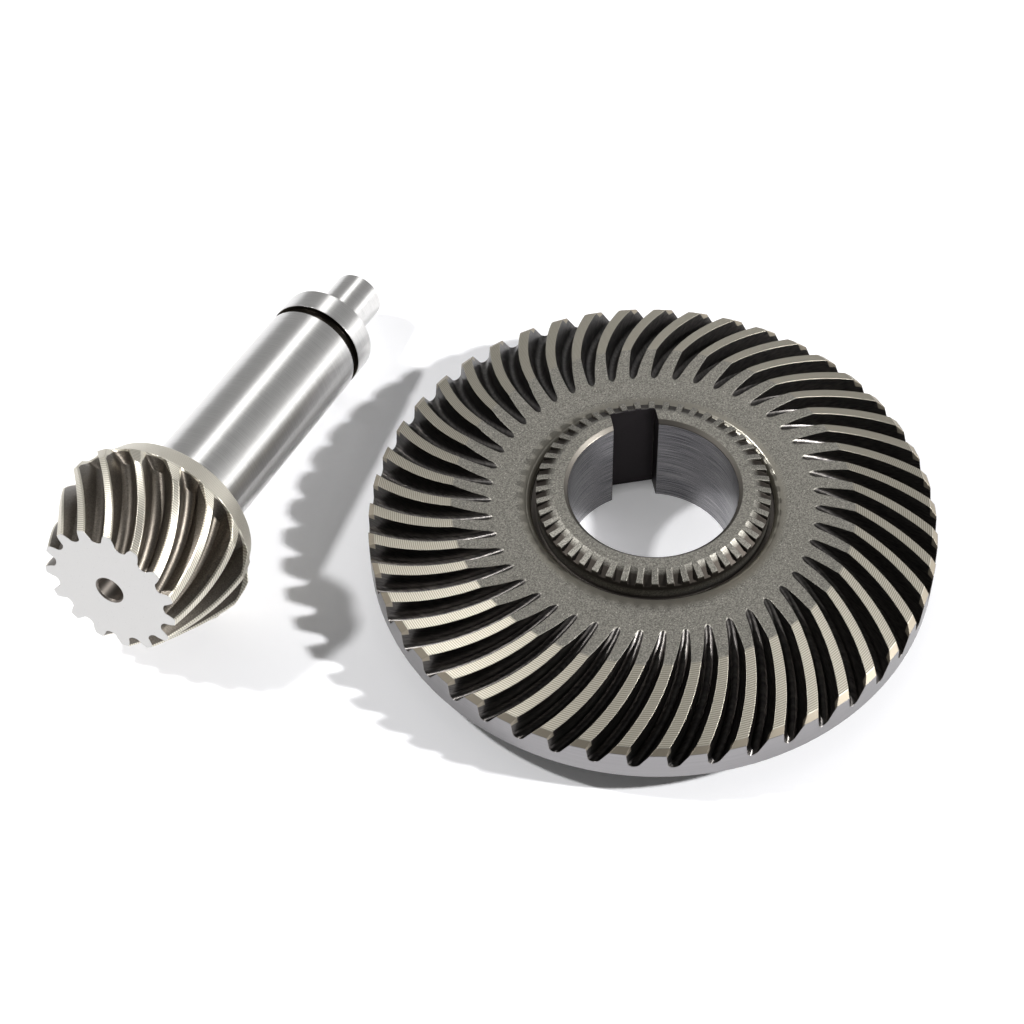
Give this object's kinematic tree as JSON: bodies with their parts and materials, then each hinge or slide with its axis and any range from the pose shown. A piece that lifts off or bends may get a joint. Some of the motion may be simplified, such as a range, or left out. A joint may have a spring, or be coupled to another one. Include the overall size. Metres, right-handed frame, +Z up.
{
  "type": "spiral bevel gear pair",
  "caption": "Spiral bevel gear pair: a crown wheel with keyed bore and serrated hub, and a pinion in one piece with its shaft.",
  "frame": {"origin": "on the crown wheel's bore axis, at the back end of its rear hub, which is the surface both pieces stand on", "axes": "+Z up along the crown wheel's bore axis towards the toothed face, +Y through the middle of the keyway"},
  "size_m": [0.1148, 0.0888, 0.0266],
  "materials": {
    "crown_steel": "shot-blasted web and flanks, ground bore, land tops bare with fine tool marks",
    "pinion_steel": "ground shaft, turned head with bare, finely marked lands and dark tooth gaps"
  },
  "bodies": {
    "crown": {"crown_wheel": "crown_steel"},
    "pinion": {"pinion_shaft": "pinion_steel"}
  },
  "joints": [
    {"name": "pinion_spin", "type": "hinge", "parent": "crown", "child": "pinion", "pos_m": [-0.05275, 0.02071, 0.01058], "axis": [0.5774, 0.8041, -0.1412], "continuous": true}
  ]
}
